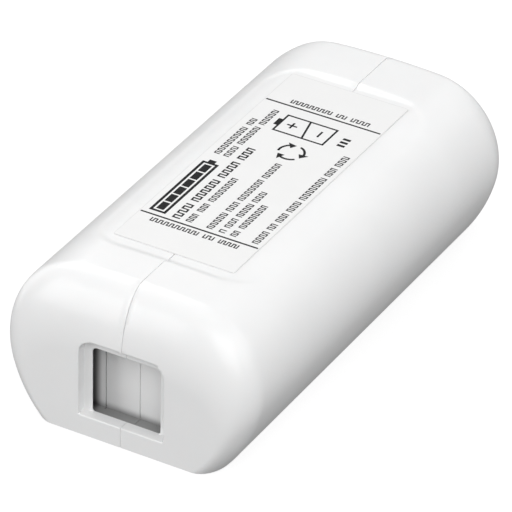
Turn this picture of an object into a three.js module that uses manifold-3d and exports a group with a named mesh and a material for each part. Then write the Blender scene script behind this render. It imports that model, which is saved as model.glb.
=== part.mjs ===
// A single-cell rechargeable battery pack for an emergency light.
//
// A white moulded case in two halves, parted along its length, holds one cylindrical cell and the
// board that protects it. A printed film lies in a shallow pocket on top. A plug goes into the bay
// behind the window in the front end, and presses on two spring contacts under the bay's roof.
//
// Millimetres. +Z is up, the window faces -Y, and X runs across. The origin is at the middle of the
// underside.
import * as THREE from "three";
import { mergeVertices } from "three/addons/utils/BufferGeometryUtils.js";
import Module from "manifold-3d";

const wasm = await Module();
wasm.setup();

// ---- Driving dimensions --------------------------------------------------------------------------

const LENGTH = 78;
const HEIGHT = 24.2;
const WALL = 1.6;
const SEAM_GAP = 0.06;

// Further than the case reaches in any direction, for the tools that cut right through it.
const BEYOND = 60;

// The cross-section is a chain of tangent arcs: a nearly flat crown, a shoulder, then a flank that
// tucks in under the case. An arc's angle is the slope of the surface, 0 on top and 90 when upright.
const CROWN_RADIUS = 150;
const CROWN_HALF_WIDTH = 8.9;
const SHOULDER_RADIUS = 11.5;
const SHOULDER_END = THREE.MathUtils.degToRad(104);
const FLANK_RADIUS = 25;

// Each end rounds over as a quarter ellipse, run long and drop high, and turns its upright corners
// with a radius.
const FRONT = { side: -1, run: 5.8, drop: 10.6, corner: 4.6 };
const BACK = { side: 1, run: 3.6, drop: 9.8, corner: 6.5 };

// The pocket for the film: its floor is flat in the middle and follows the crown at the sides.
const POCKET = { halfWidth: 13.55, length: 55, centreY: -0.2, corner: 6, floorZ: 23.77, step: 0.12 };
const LABEL = { width: 19.1, length: 50, centreX: -0.2, centreY: 0.05, corner: 0.4, lift: 0.01, thickness: 0.1 };

// The front end: a recess, the window in its floor, and the bay behind the window, which is wider and
// deeper than the window.
const RECESS = { halfWidth: 6.7, low: 3.25, high: 15.5, corner: 2.2, depth: 1.5 };
const WINDOW = { halfWidth: 5.4, low: 3.25, high: 13.8, corner: 0.8, plate: 0.8 };
const BAY = { halfWidth: 7.6, floorZ: WALL, roofZ: 16.9, backY: -LENGTH / 2 + 5.25, wall: 1.2 };

// The cell lies to the left of the seam, with its positive end forward.
const CELL = { x: -6.9, z: 12.1, baseY: 34.6, radius: 9.15, length: 64.5, cap: 65.2, segments: 44 };
const BORE_RADIUS = 9.5;

// Cross ribs hold the cell on the left and the board on the right.
const RIB_STATIONS = [-20, -2, 16];
const RIB_THICKNESS = 1.2;
const BOARD = { x: 9.3, thickness: 1, frontY: -26, backY: 20, low: 4.7, high: 19.7 };

// Snap hooks on the left half catch in pockets in the right half, below and above.
const HOOK_STATIONS = [-28, -11, 7, 30];
const HOOK_WIDTH = 5;

// Alignment pins on the left half, in round bosses across the seam.
const PIN_SPOTS = [
  { y: -34.6, z: 20.7 },
  { y: 36.6, z: 20.6 },
  { y: 36.6, z: 3.4 },
];
const BOSS_RADIUS = 1.5;
const PIN_RADIUS = 0.7;
const PIN_LENGTH = 2.4;

// Welded tabs join the cell to the board, and two leads join the board to the spring contacts.
const TAB_WIDTH = 4;
const TAB_THICKNESS = 0.15;
const TAB_X = 8;
const CONTACT = { offset: 2.6, width: 2.4, thickness: 0.25, z: 15.3, bump: 14.35 };
const LEAD_RADIUS = 0.6;

const WHITE = { color: 0xf4f4f2, roughness: 0.38, metalness: 0 };
const FILM = { color: 0xf2f1ec, roughness: 0.5, metalness: 0 };
const STEEL = { color: 0xb9bcc0, roughness: 0.35, metalness: 1 };
const NICKEL = { color: 0xc8c6bd, roughness: 0.3, metalness: 1 };
const SLEEVE_BLUE = { color: 0x2b6f9e, roughness: 0.35, metalness: 0 };
const NYLON = { color: 0x2a2c2e, roughness: 0.6, metalness: 0 };
const CARD = { color: 0xb7a27a, roughness: 0.85, metalness: 0 };
const FOAM = { color: 0x3b3d40, roughness: 0.95, metalness: 0 };
const BOARD_GREEN = { color: 0x1f6b3c, roughness: 0.45, metalness: 0 };
const CHIP_BLACK = { color: 0x1b1b1d, roughness: 0.5, metalness: 0 };
const CERAMIC = { color: 0xb79f78, roughness: 0.55, metalness: 0 };
const FUSE_GREEN = { color: 0x3f7f4d, roughness: 0.4, metalness: 0 };
const COPPER = { color: 0xc98a55, roughness: 0.3, metalness: 1 };
const RED = { color: 0xb32020, roughness: 0.5, metalness: 0 };
const BLACK = { color: 0x1d1d1f, roughness: 0.5, metalness: 0 };

// ---- Solids --------------------------------------------------------------------------------------

// A closed geometry as a solid that can be joined and cut.
function solid(geometry) {
  const bare = new THREE.BufferGeometry();
  bare.setAttribute("position", geometry.getAttribute("position"));
  bare.setIndex(geometry.index);
  const merged = mergeVertices(bare, 1e-4);
  const triVerts = new Uint32Array(merged.index.array);
  const vertProperties = merged.getAttribute("position").array;
  return new wasm.Manifold(new wasm.Mesh({ numProp: 3, vertProperties, triVerts }));
}

// A solid as a geometry with flat faces.
function geometryOf(body) {
  const mesh = body.getMesh();
  const geometry = new THREE.BufferGeometry();
  geometry.setAttribute("position", new THREE.BufferAttribute(mesh.vertProperties, 3));
  geometry.setIndex(new THREE.BufferAttribute(mesh.triVerts, 1));
  const flat = geometry.toNonIndexed();
  flat.computeVertexNormals();
  return flat;
}

// A box between two corners.
function box(low, high) {
  const size = high.map((value, axis) => value - low[axis]);
  const centre = high.map((value, axis) => (value + low[axis]) / 2);
  return solid(new THREE.BoxGeometry(...size).translate(...centre));
}

// A closed outline of [a, b] points as a Shape.
function outline(points) {
  return new THREE.Shape(points.map(([a, b]) => new THREE.Vector2(a, b)));
}

// A rectangle with a radius at its low corners and another at its high corners.
function roundedRectangle(left, right, low, high, lowRadius, highRadius) {
  const shape = new THREE.Shape();
  shape.moveTo(left + lowRadius, low);
  shape.lineTo(right - lowRadius, low);
  if (lowRadius > 0) shape.absarc(right - lowRadius, low + lowRadius, lowRadius, -Math.PI / 2, 0);
  shape.lineTo(right, high - highRadius);
  if (highRadius > 0) shape.absarc(right - highRadius, high - highRadius, highRadius, 0, Math.PI / 2);
  shape.lineTo(left + highRadius, high);
  if (highRadius > 0) shape.absarc(left + highRadius, high - highRadius, highRadius, Math.PI / 2, Math.PI);
  shape.lineTo(left, low + lowRadius);
  if (lowRadius > 0) shape.absarc(left + lowRadius, low + lowRadius, lowRadius, Math.PI, Math.PI * 1.5);
  return shape;
}

// A shape drawn in (y, z), extruded from x = from to x = to.
function extrudeAlongX(shape, from, to) {
  const geometry = extrusion(shape, to - from);
  geometry.rotateX(Math.PI / 2).rotateZ(Math.PI / 2);
  return solid(geometry.translate(from, 0, 0));
}

// A shape drawn in (x, z), extruded from y = from to y = to.
function extrudeAlongY(shape, from, to) {
  const geometry = extrusion(shape, to - from);
  geometry.rotateX(Math.PI / 2);
  return solid(geometry.translate(0, to, 0));
}

// A shape drawn in (x, y), extruded from z = from to z = to.
function extrudeAlongZ(shape, from, to) {
  return solid(extrusion(shape, to - from).translate(0, 0, from));
}

// A shape extruded along its own normal.
function extrusion(shape, depth) {
  return new THREE.ExtrudeGeometry(shape, { depth, bevelEnabled: false, curveSegments: 8 });
}

// Rings of equal length from front to back, each one counter-clockwise as seen from the front,
// joined side to side and closed with a flat cap at each end.
function loft(rings) {
  const count = rings[0].length;
  const positions = rings.flat(2);
  const index = [];
  for (let ring = 0; ring < rings.length - 1; ring += 1) {
    for (let i = 0; i < count; i += 1) {
      const a = ring * count + i;
      const b = ring * count + ((i + 1) % count);
      index.push(b, a, a + count, b, a + count, b + count);
    }
  }
  const flat = rings[0].map(([x, , z]) => new THREE.Vector2(x, z));
  const last = (rings.length - 1) * count;
  for (const [a, b, c] of THREE.ShapeUtils.triangulateShape(flat, [])) {
    index.push(a, b, c);
    index.push(last + a, last + c, last + b);
  }
  const geometry = new THREE.BufferGeometry();
  geometry.setAttribute("position", new THREE.Float32BufferAttribute(positions, 3));
  geometry.setIndex(index);
  return solid(geometry);
}

// ---- The case's outer form, and the same form set in by an offset ------------------------------------

// The right half of the cross-section, from the top of the crown to the middle of the underside.
function sectionHalf(offset) {
  const crownEnd = Math.asin(CROWN_HALF_WIDTH / CROWN_RADIUS);
  const crown = { x: 0, z: HEIGHT - CROWN_RADIUS };
  const shoulder = nextCentre(crown, crownEnd, CROWN_RADIUS - SHOULDER_RADIUS);
  const flank = nextCentre(shoulder, SHOULDER_END, SHOULDER_RADIUS - FLANK_RADIUS);
  const flankEnd = Math.acos((offset - flank.z) / (FLANK_RADIUS - offset));
  return [
    ...arc(crown, CROWN_RADIUS - offset, 0, crownEnd, 3),
    ...arc(shoulder, SHOULDER_RADIUS - offset, crownEnd, SHOULDER_END, 12),
    ...arc(flank, FLANK_RADIUS - offset, SHOULDER_END, flankEnd, 5),
    [flank.x + (FLANK_RADIUS - offset) * Math.sin(flankEnd), offset],
    [0, offset],
  ];
}

// The centre of the arc that takes over from another at a slope, set along their shared radius.
function nextCentre(centre, slope, distance) {
  return {
    x: centre.x + distance * Math.sin(slope),
    z: centre.z + distance * Math.cos(slope),
  };
}

// Points on an arc, without its last one.
function arc(centre, radius, from, to, steps) {
  return Array.from({ length: steps }, (_, i) => {
    const slope = from + ((to - from) * i) / steps;
    return [centre.x + radius * Math.sin(slope), centre.z + radius * Math.cos(slope)];
  });
}

// How far a quarter ellipse, run long and drop high, has fallen at a distance in from its tip.
function fall(distance, run, drop) {
  const back = Math.max(0, run - distance) / run;
  return drop * (1 - Math.sqrt(1 - back * back));
}

// The stations of one end, from its face to where its rounding is over.
function endStations(end, offset, steps) {
  const reach = Math.max(end.run, end.corner) - offset;
  return Array.from({ length: steps + 1 }, (_, i) => {
    const distance = reach * (1 - Math.cos((Math.PI / 2) * (i / steps)));
    return {
      y: end.side * (LENGTH / 2 - offset - distance),
      lower: fall(distance, end.run - offset, end.drop - offset),
      narrow: fall(distance, end.corner - offset, end.corner - offset),
    };
  });
}

// The whole body as one solid, set in by the offset all round.
function body(offset) {
  const half = sectionHalf(offset);
  const widest = Math.max(...half.map(([x]) => x));
  const high = HEIGHT - 2 * offset;
  const stations = [...endStations(FRONT, offset, 9), ...endStations(BACK, offset, 7).reverse()];
  const rings = stations.map(({ y, lower, narrow }) => {
    const acrossScale = (widest - narrow) / widest;
    const upScale = (high - lower) / high;
    const left = half.map(([x, z]) => [-x * acrossScale, y, offset + (z - offset) * upScale]);
    const right = left.slice(1, -1).reverse();
    return [...left, ...right.map(([x, , z]) => [-x, y, z])];
  });
  return loft(rings);
}

// The height of the crown and shoulder above a point, for the pocket.
function topAt(x) {
  const half = sectionHalf(0);
  const next = half.findIndex(([pointX]) => pointX >= Math.abs(x));
  if (next <= 0) return HEIGHT;
  const [x0, z0] = half[next - 1];
  const [x1, z1] = half[next];
  return z0 + ((z1 - z0) * (Math.abs(x) - x0)) / (x1 - x0);
}

// The pocket's floor line across the case, as [x, z] points.
function pocketFloor(halfWidth, lift) {
  const steps = 24;
  return Array.from({ length: steps + 1 }, (_, i) => {
    const x = -halfWidth + (2 * halfWidth * i) / steps;
    return [x, Math.min(POCKET.floorZ, topAt(x) - POCKET.step) + lift];
  });
}

// ---- Case ----------------------------------------------------------------------------------------

// The shallow pocket for the film.
function pocketCutter() {
  const margin = 1;
  const reach = POCKET.halfWidth + margin;
  const above = HEIGHT + margin;
  const floor = outline([...pocketFloor(reach, 0), [reach, above], [-reach, above]]);
  const half = POCKET.length / 2;
  const plan = roundedRectangle(
    -POCKET.halfWidth,
    POCKET.halfWidth,
    POCKET.centreY - half,
    POCKET.centreY + half,
    POCKET.corner,
    POCKET.corner,
  );
  const low = HEIGHT / 2;
  return extrudeAlongY(floor, -half - margin, half + margin).intersect(extrudeAlongZ(plan, low, above));
}

// Everything that is cut away through the front: the recess, the window and the bay.
function frontCutter() {
  const face = -LENGTH / 2;
  const recessFloor = face + RECESS.depth;
  const plateBack = recessFloor + WINDOW.plate;
  const recess = roundedRectangle(
    -RECESS.halfWidth,
    RECESS.halfWidth,
    RECESS.low,
    RECESS.high,
    0,
    RECESS.corner,
  );
  const window = roundedRectangle(
    -WINDOW.halfWidth,
    WINDOW.halfWidth,
    WINDOW.low,
    WINDOW.high,
    WINDOW.corner,
    WINDOW.corner,
  );
  const bay = box([-BAY.halfWidth, plateBack, BAY.floorZ], [BAY.halfWidth, BAY.backY, BAY.roofZ]);
  let cutter = extrudeAlongY(recess, face - 1, recessFloor)
    .add(extrudeAlongY(window, recessFloor - 0.5, plateBack + 0.5))
    .add(bay);
  for (const side of [-1, 1]) {
    const centre = side * CONTACT.offset;
    const half = CONTACT.width / 2 + 0.2;
    const low = [centre - half, BAY.backY - 0.5, CONTACT.z - 0.3];
    const high = [centre + half, BAY.backY + BAY.wall + 0.5, CONTACT.z + 0.45];
    cutter = cutter.add(box(low, high));
  }
  return cutter;
}

// The walls of the bay and the plate round the window, before the bay is hollowed.
function bayWalls() {
  const halfWidth = BAY.halfWidth + BAY.wall;
  const recessFloor = -LENGTH / 2 + RECESS.depth;
  const walls = box(
    [-halfWidth, recessFloor, WALL / 2],
    [halfWidth, BAY.backY + BAY.wall, BAY.roofZ + BAY.wall],
  );
  const plate = box(
    [-RECESS.halfWidth - BAY.wall, recessFloor - 0.5, WALL / 2],
    [RECESS.halfWidth + BAY.wall, recessFloor + WINDOW.plate, RECESS.high + BAY.wall],
  );
  return walls.add(plate);
}

function cellBore() {
  const bore = new THREE.CylinderGeometry(BORE_RADIUS, BORE_RADIUS, 2 * BEYOND, CELL.segments);
  return solid(bore.translate(CELL.x, 0, CELL.z));
}

// Cross ribs, with a bore for the cell, a slot that grips the board and an opening beside it.
function ribs() {
  const half = RIB_THICKNESS / 2;
  const clearance = 0.15;
  const openingLow = BOARD.low + 1.3;
  const openingHigh = BOARD.high - 1.3;
  const opening = box([4, -BEYOND, openingLow], [16.5, BEYOND, openingHigh]);
  const slot = box(
    [BOARD.x - clearance, -BEYOND, BOARD.low - clearance],
    [BOARD.x + BOARD.thickness + clearance, BEYOND, BOARD.high + clearance],
  );
  let plates = null;
  for (const y of RIB_STATIONS) {
    const plate = box([-BEYOND, y - half, 0], [BEYOND, y + half, BEYOND]);
    plates = plates ? plates.add(plate) : plate;
  }
  return plates.subtract(opening).subtract(slot).subtract(cellBore());
}

// A rod along X at a spot in the side view.
function rodAlongX(radius, from, to, { y, z }) {
  const rod = new THREE.CylinderGeometry(radius, radius, to - from, 16);
  return solid(rod.rotateZ(Math.PI / 2).translate((from + to) / 2, y, z));
}

// The side view of the body at the seam, set in by an offset, as [y, z] points.
function sideView(offset) {
  const arch = (end) =>
    endStations(end, offset, 8).map(({ y, lower }) => [y, HEIGHT - offset - lower]);
  const front = [[-LENGTH / 2 + offset, offset], ...arch(FRONT)];
  const back = [...arch(BACK).reverse(), [LENGTH / 2 - offset, offset]];
  return [...front, ...back];
}

// The lip along the seam: a ring between two offsets, left out round the window and the bay.
function seamLip(outer, inner, reachX, clearance) {
  const ring = extrudeAlongX(outline(sideView(outer)), -0.5, reachX).subtract(
    extrudeAlongX(outline(sideView(inner)), -1, reachX + 1),
  );
  const low = [-2, -LENGTH / 2 - 1, RECESS.low - 1 - clearance];
  const high = [2, BAY.backY, RECESS.high + 1.4 + clearance];
  return ring.subtract(box(low, high));
}

// A snap hook at one station, under the roof (up = 1) or over the floor (up = -1): a beam across
// the seam, its root in the left half's wall, and a barb at its tip.
function snapHook(y, up) {
  const half = HOOK_WIDTH / 2;
  const level = up > 0 ? HEIGHT - WALL : WALL;
  const at = (inward) => level - up * inward;
  const beam = slab(y, half, -2.2, 2.4, at(0.2), at(1.1));
  const root = slab(y, half, -2.2, -0.3, at(-0.3), at(1.1));
  const barb = slab(y, half, 1.6, 2.4, at(-0.4), at(0.5));
  return beam.add(root).add(barb);
}

// The pocket in the right half's wall that a hook's barb drops into.
function snapCatch(y, up) {
  const level = up > 0 ? HEIGHT - WALL : WALL;
  const at = (inward) => level - up * inward;
  return slab(y, HOOK_WIDTH / 2 + 0.3, 1.4, 2.7, at(-0.6), at(0.4));
}

// A box about a station y, between two heights in either order.
function slab(y, half, fromX, toX, zA, zB) {
  return box([fromX, y - half, Math.min(zA, zB)], [toX, y + half, Math.max(zA, zB)]);
}

// The left and right case halves.
function caseHalves() {
  let fittings = bayWalls().add(ribs());
  for (const spot of PIN_SPOTS) {
    fittings = fittings.add(rodAlongX(BOSS_RADIUS, -4, 4, spot));
  }
  const inside = fittings.intersect(body(WALL / 2));
  const whole = body(0)
    .subtract(body(WALL))
    .add(inside)
    .subtract(pocketCutter())
    .subtract(frontCutter());
  const edge = SEAM_GAP / 2;
  let left = whole.intersect(box([-BEYOND, -BEYOND, -BEYOND], [-edge, BEYOND, BEYOND]));
  let right = whole.intersect(box([edge, -BEYOND, -BEYOND], [BEYOND, BEYOND, BEYOND]));
  left = left.add(seamLip(0.8, 1.2, 0.75, 0.15));
  right = right.subtract(seamLip(0.7, 1.35, 0.95, 0));
  for (const spot of PIN_SPOTS) {
    left = left.add(rodAlongX(PIN_RADIUS, -1, PIN_LENGTH, spot));
    right = right.subtract(rodAlongX(PIN_RADIUS + 0.12, -1, PIN_LENGTH + 0.4, spot));
  }
  for (const y of HOOK_STATIONS) {
    for (const up of [-1, 1]) {
      left = left.add(snapHook(y, up));
      right = right.subtract(snapCatch(y, up));
    }
  }
  return { left, right };
}

// The printed film, following the pocket's floor.
function labelFilm() {
  const half = LABEL.width / 2;
  const low = pocketFloor(half + 1, LABEL.lift);
  const high = pocketFloor(half + 1, LABEL.lift + LABEL.thickness).reverse();
  const plan = roundedRectangle(
    LABEL.centreX - half,
    LABEL.centreX + half,
    LABEL.centreY - LABEL.length / 2,
    LABEL.centreY + LABEL.length / 2,
    LABEL.corner,
    LABEL.corner,
  );
  const sheet = extrudeAlongY(outline([...low, ...high]), -LABEL.length, LABEL.length);
  return sheet.intersect(extrudeAlongZ(plan, HEIGHT / 2, BEYOND));
}

// ---- Cell ----------------------------------------------------------------------------------------

// A turned piece of the cell: its profile is [radius, distance from the negative end] points.
function turned(profile) {
  const points = profile.map(([radius, along]) => new THREE.Vector2(radius, along));
  return new THREE.LatheGeometry(points, CELL.segments);
}

// A profile that doesn't touch the axis, closed on itself.
function closed(profile) {
  return [...profile, profile[0]];
}

const rim = CELL.length;
const seat = rim - 1;
const canProfile = [
  [0, 0],
  [CELL.radius - 0.3, 0],
  [CELL.radius, 0.3],
  [CELL.radius, rim - 3.5],
  [CELL.radius - 0.6, rim - 3],
  [CELL.radius - 0.6, rim - 2.4],
  [CELL.radius, rim - 1.9],
  [CELL.radius, rim - 0.3],
  [CELL.radius - 0.25, rim],
  [7.6, rim],
  [7.6, seat],
  [0, seat],
];
const sleeveProfile = closed([
  [7.6, -0.14],
  [CELL.radius - 0.15, -0.14],
  [CELL.radius + 0.13, 0.2],
  [CELL.radius + 0.13, rim - 0.1],
  [CELL.radius - 0.05, rim + 0.16],
  [7.8, rim + 0.16],
  [7.8, rim + 0.06],
  [CELL.radius - 0.1, rim + 0.06],
  [CELL.radius + 0.03, rim - 0.2],
  [CELL.radius + 0.03, 0.25],
  [CELL.radius - 0.2, -0.04],
  [7.6, -0.04],
]);
const capProfile = [
  [0, seat + 0.05],
  [5.4, seat + 0.05],
  [5.4, seat + 0.45],
  [4.2, seat + 0.5],
  [3.9, CELL.cap - 0.2],
  [3.6, CELL.cap],
  [0, CELL.cap],
];
const gasketProfile = closed([
  [5.6, seat + 0.05],
  [7.5, seat + 0.05],
  [7.5, seat + 0.9],
  [5.6, seat + 0.7],
]);
const washerProfile = closed([
  [4.4, rim + 0.2],
  [7.6, rim + 0.2],
  [7.6, rim + 0.35],
  [4.4, rim + 0.35],
]);

// A welded tab: flat on the cell's end, along beside the board, then in to the board's face.
function weldedTab(endY, boardY) {
  const low = CELL.z - TAB_WIDTH / 2;
  const high = CELL.z + TAB_WIDTH / 2;
  const backwards = boardY < endY;
  const t = TAB_THICKNESS;
  const across = box([CELL.x - 3, endY - t / 2, low], [TAB_X, endY + t / 2, high]);
  const run = box(
    [TAB_X - t, Math.min(endY, boardY) - t / 2, low],
    [TAB_X, Math.max(endY, boardY) + t / 2, high],
  );
  const foot = box([TAB_X - t, boardY - t / 2, low], [BOARD.x - 0.02, boardY + t / 2, high]);
  const toe = box(
    [BOARD.x - 0.02 - t, backwards ? boardY - 2 : boardY, low],
    [BOARD.x - 0.02, backwards ? boardY : boardY + 2, high],
  );
  return across.add(run).add(foot).add(toe);
}

// ---- Board ---------------------------------------------------------------------------------------

const boardFace = BOARD.x + BOARD.thickness;

// The bare board, standing on edge.
function boardBlank() {
  const plan = roundedRectangle(BOARD.frontY, BOARD.backY, BOARD.low, BOARD.high, 0.8, 0.8);
  return extrudeAlongX(plan, BOARD.x, boardFace);
}

// A component on the board's outer face: its middle, its size along y and z, and its height.
function onBoard(y, z, sizeY, sizeZ, height) {
  const lift = 0.02;
  const low = [boardFace + lift, y - sizeY / 2, z - sizeZ / 2];
  const high = [boardFace + lift + height, y + sizeY / 2, z + sizeZ / 2];
  return box(low, high);
}

// A moulded chip with a row of legs along each side.
function chip(y, z, sizeY, sizeZ, height, legs) {
  let part = onBoard(y, z, sizeY, sizeZ, height);
  const pitch = sizeY / legs;
  for (let i = 0; i < legs; i += 1) {
    const legY = y - sizeY / 2 + pitch * (i + 0.5);
    part = part.add(onBoard(legY, z, pitch * 0.45, sizeZ + 1.6, 0.25));
  }
  return part;
}

// A block with wide end terminals, such as a resistor or a fuse.
function terminalBlock(y, z, sizeY, sizeZ, height) {
  return onBoard(y, z, sizeY, sizeZ - 0.4, height)
    .add(onBoard(y - sizeY / 2 + 0.4, z, 0.8, sizeZ, height * 0.9))
    .add(onBoard(y + sizeY / 2 - 0.4, z, 0.8, sizeZ, height * 0.9));
}

// ---- Contacts and leads --------------------------------------------------------------------------

// The block under the bay's roof that carries the two spring contacts.
function contactCarrier() {
  const plateBack = -LENGTH / 2 + RECESS.depth + WINDOW.plate;
  const floor = CONTACT.z + CONTACT.thickness + 0.05;
  const block = box(
    [-WINDOW.halfWidth + 0.3, plateBack + 0.2, floor],
    [WINDOW.halfWidth - 0.3, BAY.backY - 0.2, BAY.roofZ - 0.2],
  );
  const divider = box(
    [-0.5, plateBack + 0.4, CONTACT.bump + 0.2],
    [0.5, BAY.backY - 0.3, floor + 0.1],
  );
  return block.add(divider);
}

// A spring contact: a leaf with a bump, a tail through the bay's back wall, and a solder lug.
function springContact(side) {
  const t = CONTACT.thickness;
  const front = -LENGTH / 2 + RECESS.depth + WINDOW.plate + 0.35;
  const lug = BAY.backY + BAY.wall + 0.12;
  const middle = [
    [front, CONTACT.z - 0.1],
    [front + 0.5, CONTACT.bump + 0.25],
    [front + 0.9, CONTACT.bump + 0.02],
    [front + 1.3, CONTACT.bump + 0.25],
    [front + 1.9, CONTACT.z],
    [lug, CONTACT.z],
  ];
  const upper = middle.map(([y, z]) => [y, z + t]);
  const strip = extrudeAlongX(
    outline([...middle, ...upper.reverse()]),
    side * CONTACT.offset - CONTACT.width / 2,
    side * CONTACT.offset + CONTACT.width / 2,
  );
  const plate = box(
    [side * CONTACT.offset - 0.9, lug, CONTACT.z],
    [side * CONTACT.offset + 0.9, lug + t, CONTACT.z + 1.9],
  );
  return strip.add(plate);
}

const LEAD_START_Y = BAY.backY + BAY.wall + 1.05;
const positiveRoute = [
  [CONTACT.offset, LEAD_START_Y, 16.2],
  [4.2, LEAD_START_Y, 16.9],
  [6.6, -30.6, 17],
  [8.1, -28.6, 17],
  [8.55, -26.4, 17],
  [8.55, -23.6, 17],
];
const negativeRoute = [
  [-CONTACT.offset, LEAD_START_Y, 16.2],
  [-1.6, LEAD_START_Y, 17.6],
  [0.8, LEAD_START_Y, 18.7],
  [4.4, -31.1, 18.9],
  [7.2, -30, 18.9],
  [8.4, -28, 18.9],
  [8.55, -26, 18.9],
  [8.55, -23.6, 18.9],
];

// An insulated lead along its route.
function lead(route) {
  const curve = new THREE.CatmullRomCurve3(route.map((point) => new THREE.Vector3(...point)));
  const ring = new THREE.Shape();
  ring.absarc(0, 0, LEAD_RADIUS, 0, Math.PI * 2);
  return new THREE.ExtrudeGeometry(ring, { steps: 16, curveSegments: 8, extrudePath: curve });
}

// ---- Assembly ------------------------------------------------------------------------------------

const pack = new THREE.Group();

function add(name, shape, finish) {
  const geometry = shape instanceof THREE.BufferGeometry ? shape : geometryOf(shape);
  const mesh = new THREE.Mesh(geometry, new THREE.MeshStandardMaterial(finish));
  mesh.name = name;
  pack.add(mesh);
  return mesh;
}

const halves = caseHalves();
add("case_half_left", halves.left, WHITE);
add("case_half_right", halves.right, WHITE);
add("label_film", labelFilm(), FILM);

const cellPieces = [
  ["cell_can", canProfile, STEEL],
  ["cell_sleeve", sleeveProfile, SLEEVE_BLUE],
  ["cell_cap", capProfile, STEEL],
  ["cell_gasket", gasketProfile, NYLON],
  ["cell_washer", washerProfile, CARD],
];
for (const [name, profile, finish] of cellPieces) {
  const piece = add(name, turned(profile), finish);
  piece.rotation.x = Math.PI;
  piece.position.set(CELL.x, CELL.baseY, CELL.z);
}

const positiveEndY = CELL.baseY - CELL.cap - 0.02 - TAB_THICKNESS / 2;
const negativeEndY = CELL.baseY + 0.18 + TAB_THICKNESS / 2;
add("tab_positive", weldedTab(positiveEndY, -24), NICKEL);
add("tab_negative", weldedTab(negativeEndY, 18), NICKEL);

const padCentre = [CELL.x, 36.3, CELL.z];
add("end_pad", new THREE.CylinderGeometry(5, 5, 1.8, 32).translate(...padCentre), FOAM);
const padGap = RIB_THICKNESS / 2 + 0.4;
for (let i = 0; i + 1 < RIB_STATIONS.length; i += 1) {
  const low = [CELL.x - 2.5, RIB_STATIONS[i] + padGap, CELL.z + CELL.radius + 0.25];
  const high = [CELL.x + 2.5, RIB_STATIONS[i + 1] - padGap, HEIGHT - WALL - 0.5];
  add(`cell_pad_${i + 1}`, box(low, high), FOAM);
}
const cardY = BAY.backY + BAY.wall + 0.55;
add("bay_insulator", box([-11, cardY, 3.2], [5.2, cardY + 0.2, 14.6]), CARD);

add("protection_board", boardBlank(), BOARD_GREEN);
add("protection_chip", chip(-15, 9.4, 2.9, 1.6, 1.1, 3), CHIP_BLACK);
add("switch_transistor_1", chip(-9.2, 12.4, 3.1, 4.4, 1, 4), CHIP_BLACK);
add("switch_transistor_2", chip(-4.6, 12.4, 3.1, 4.4, 1, 4), CHIP_BLACK);
add("sense_resistor", terminalBlock(3.2, 12.2, 6.4, 3.2, 0.7), CHIP_BLACK);
add("resettable_fuse", terminalBlock(-20.5, 14.6, 4.6, 3.4, 0.9), FUSE_GREEN);
add("thermistor", terminalBlock(12.4, 15.2, 2, 1.3, 0.9), CHIP_BLACK);
const capacitorSpots = [
  [-15, 14.8],
  [10.2, 9.2],
];
capacitorSpots.forEach(([y, z], i) => {
  add(`capacitor_${i + 1}`, terminalBlock(y, z, 2, 1.3, 0.9), CERAMIC);
});
const resistorSpots = [
  [-18.6, 8.4],
  [8.6, 14.4],
];
resistorSpots.forEach(([y, z], i) => {
  add(`resistor_${i + 1}`, terminalBlock(y, z, 1.6, 0.9, 0.45), CHIP_BLACK);
});
add("board_shield", box([13, BOARD.frontY + 1, 6.4], [13.3, BOARD.backY - 1, 18]), CARD);

add("contact_carrier", contactCarrier(), NYLON);
add("contact_positive", springContact(1), COPPER);
add("contact_negative", springContact(-1), COPPER);
add("lead_positive", lead(positiveRoute), RED);
add("lead_negative", lead(negativeRoute), BLACK);

export default pack;
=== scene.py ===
"""A single-cell battery pack for an emergency light: the finished surfaces, round the CAD frame.

Shapes are worked out in millimetres and made in metres. +Z is up, the window faces -Y, and the origin is
at the middle of the underside.
"""
import itertools
import math

import bmesh
import bpy
from mathutils import Matrix, Vector


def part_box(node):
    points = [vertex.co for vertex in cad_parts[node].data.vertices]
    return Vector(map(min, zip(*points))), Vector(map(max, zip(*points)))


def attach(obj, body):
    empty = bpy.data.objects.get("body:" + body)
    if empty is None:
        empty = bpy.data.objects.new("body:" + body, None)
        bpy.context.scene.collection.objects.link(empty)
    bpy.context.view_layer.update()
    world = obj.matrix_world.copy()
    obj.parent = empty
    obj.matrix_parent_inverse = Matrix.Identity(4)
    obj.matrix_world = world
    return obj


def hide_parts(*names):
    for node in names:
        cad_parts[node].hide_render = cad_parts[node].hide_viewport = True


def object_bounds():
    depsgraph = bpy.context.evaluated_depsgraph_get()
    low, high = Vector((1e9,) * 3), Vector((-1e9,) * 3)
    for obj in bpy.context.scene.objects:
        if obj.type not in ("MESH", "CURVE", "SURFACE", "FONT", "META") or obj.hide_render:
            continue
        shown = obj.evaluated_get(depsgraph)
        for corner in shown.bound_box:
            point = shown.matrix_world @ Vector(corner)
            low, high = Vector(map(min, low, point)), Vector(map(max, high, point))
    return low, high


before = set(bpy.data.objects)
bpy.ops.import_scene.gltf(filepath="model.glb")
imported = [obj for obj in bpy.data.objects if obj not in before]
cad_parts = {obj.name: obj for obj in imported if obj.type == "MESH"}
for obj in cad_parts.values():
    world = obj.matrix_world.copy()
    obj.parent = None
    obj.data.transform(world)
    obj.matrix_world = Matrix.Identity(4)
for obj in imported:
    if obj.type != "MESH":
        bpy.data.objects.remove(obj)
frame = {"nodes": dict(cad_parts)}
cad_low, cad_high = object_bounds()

MM = 0.001

# ---- Driving dimensions, in millimetres ----------------------------------------------------------

LENGTH = (cad_high.y - cad_low.y) / MM
HEIGHT = (cad_high.z - cad_low.z) / MM
SEAM_GAP = 0.06
SEAM_BEVEL = 0.09

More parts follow.
